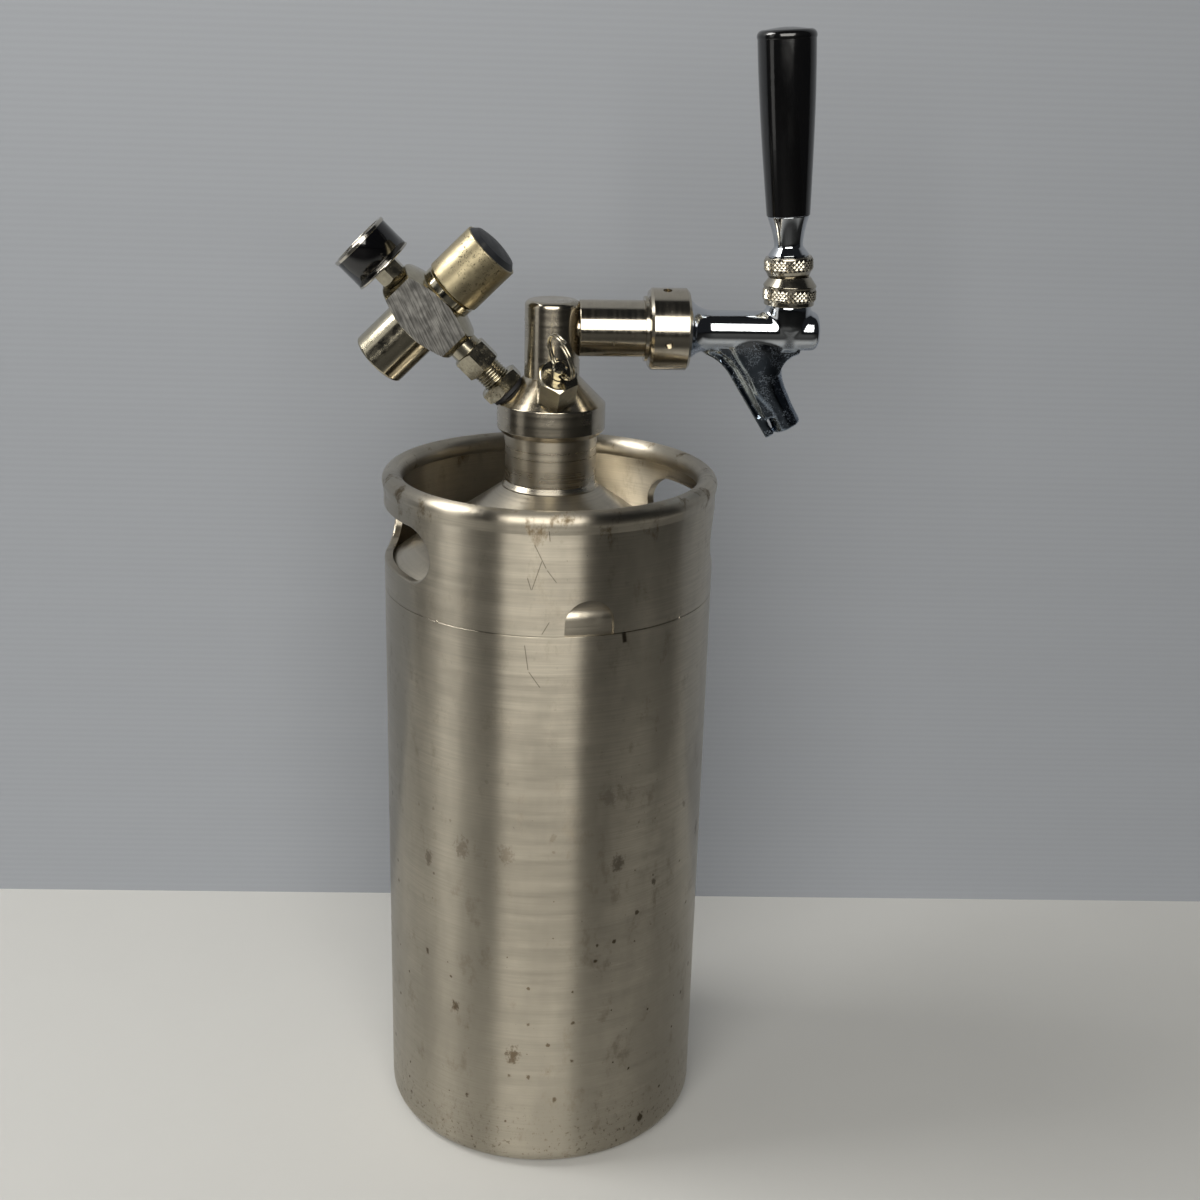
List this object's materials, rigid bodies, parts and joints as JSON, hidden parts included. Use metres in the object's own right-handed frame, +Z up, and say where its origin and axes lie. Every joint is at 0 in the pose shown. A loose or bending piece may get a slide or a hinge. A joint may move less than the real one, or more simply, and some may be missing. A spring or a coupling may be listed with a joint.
{
  "type": "mini keg beer dispenser",
  "caption": "Upright stainless mini keg with a rolled-rim collar and a screw-in head that carries a lever faucet, a relief valve with a pull ring, and a cartridge regulator with a gauge.",
  "frame": {"origin": "on the keg's axis, in the plane of the flat ring that the keg stands on", "axes": "+Z up along the keg, +X towards the faucet, -Y towards the relief valve"},
  "size_m": [0.2131, 0.1516, 0.5131],
  "materials": {
    "brushed_keg_steel": "lengthwise-drawn stainless sheet, brushed round the keg, stained and scratched",
    "brushed_dome_steel": "spun stainless sheet with turning lines",
    "turned_steel": "turned stainless, satin to polished",
    "spring_steel": "bright drawn spring wire",
    "nickel_fittings": "nickel-plated brass, slightly yellow and worn",
    "nickel_block": "nickel-plated brass forging with milled flats",
    "nickel_knob": "nickel-plated brass, worn through and speckled",
    "brass_parts": "machined brass",
    "faucet_chrome": "chrome plate, tarnished in blooms",
    "knurled_nickel": "diamond-knurled nickel plate",
    "gauge_chrome": "pressed bright steel bezel",
    "black_gauge_enamel": "gloss black stove enamel on steel",
    "clear_lens": "clear moulded lens",
    "dial_white": "printed white dial with plain numbers",
    "needle_black": "satin black",
    "black_plastic": "moulded black cap",
    "black_handle": "polished black plastic",
    "black_rubber": "moulded nitrile rubber"
  },
  "bodies": {
    "keg": {"lower_shell": "brushed_keg_steel", "upper_dome": "brushed_dome_steel", "neck": "turned_steel", "collar": "brushed_keg_steel"},
    "tap_head": {"spear_head": "turned_steel", "head_seal": "black_rubber", "dip_tube": "turned_steel", "dip_tube_seal": "black_rubber", "gas_grommet": "black_rubber", "lock_nut": "nickel_fittings", "gas_stud": "nickel_fittings", "swivel_nut": "nickel_fittings", "gas_nipple": "nickel_fittings", "regulator_block": "nickel_block", "diaphragm": "black_rubber", "regulator_bonnet": "nickel_block", "spring_button": "brass_parts", "range_spring": "spring_steel", "poppet": "brass_parts", "cartridge_cup": "nickel_block", "cup_seal": "black_rubber", "piercing_pin": "spring_steel", "gauge_stem": "nickel_fittings", "gauge_case": "black_gauge_enamel", "gauge_bezel": "gauge_chrome", "gauge_lens": "clear_lens", "gauge_dial": "dial_white", "relief_body": "nickel_fittings", "relief_plug": "brass_parts", "relief_spring": "spring_steel", "shank": "turned_steel", "snap_ring": "spring_steel", "coupling_nut": "turned_steel", "shank_gasket": "black_rubber", "faucet_body": "faucet_chrome", "faucet_bonnet": "knurled_nickel", "ball_washer": "brass_parts"},
    "knob": {"regulator_knob": "nickel_knob", "knob_cap": "black_plastic", "adjusting_screw": "brass_parts"},
    "needle": {"gauge_needle": "needle_black"},
    "relief_plunger": {"relief_stem": "nickel_fittings", "relief_seal": "black_rubber"},
    "ring": {"pull_ring": "spring_steel"},
    "tap_lever": {"lever": "faucet_chrome", "lock_ring": "knurled_nickel", "ferrule": "faucet_chrome", "grip_insert": "brass_parts", "tap_handle": "black_handle"},
    "shaft": {"valve_shaft": "brass_parts", "seat_washer": "black_rubber", "shaft_nut": "brass_parts"}
  },
  "joints": [
    {"name": "head_lift", "type": "slide", "parent": "keg", "child": "tap_head", "axis": [0, 0, 1], "range_m": [0, 0.33]},
    {"name": "lever_tilt", "type": "hinge", "parent": "tap_head", "child": "tap_lever", "pos_m": [0.1044, 0, 0.39849], "axis": [0, 1, 0], "range_deg": [0, 28]},
    {"name": "shaft_slide", "type": "slide", "parent": "tap_head", "child": "shaft", "axis": [1, 0, 0], "range_m": [-0.0064, 0]},
    {"name": "regulator_turn", "type": "hinge", "parent": "tap_head", "child": "knob", "pos_m": [-0.05426, 0, 0.39175], "axis": [-0.7032, 0.1045, -0.7032], "range_deg": [0, 360]},
    {"name": "needle_swing", "type": "hinge", "parent": "tap_head", "child": "needle", "pos_m": [-0.05426, 0, 0.39175], "axis": [0.7071, 0, -0.7071], "range_deg": [0, 270]},
    {"name": "relief_lift", "type": "slide", "parent": "tap_head", "child": "relief_plunger", "axis": [0.037, -0.7061, 0.7071], "range_m": [0, 0.002], "stiffness_N_per_m": 600, "springref_m": -0.004},
    {"name": "ring_swing", "type": "hinge", "parent": "relief_plunger", "child": "ring", "pos_m": [0.00172, -0.03291, 0.37275], "axis": [0.5165, -0.5922, -0.6184], "range_deg": [-85, 85]}
  ],
  "couplings": [
    {"joint": "shaft_slide", "follows": "lever_tilt", "m_per_rad": -0.01287}
  ]
}
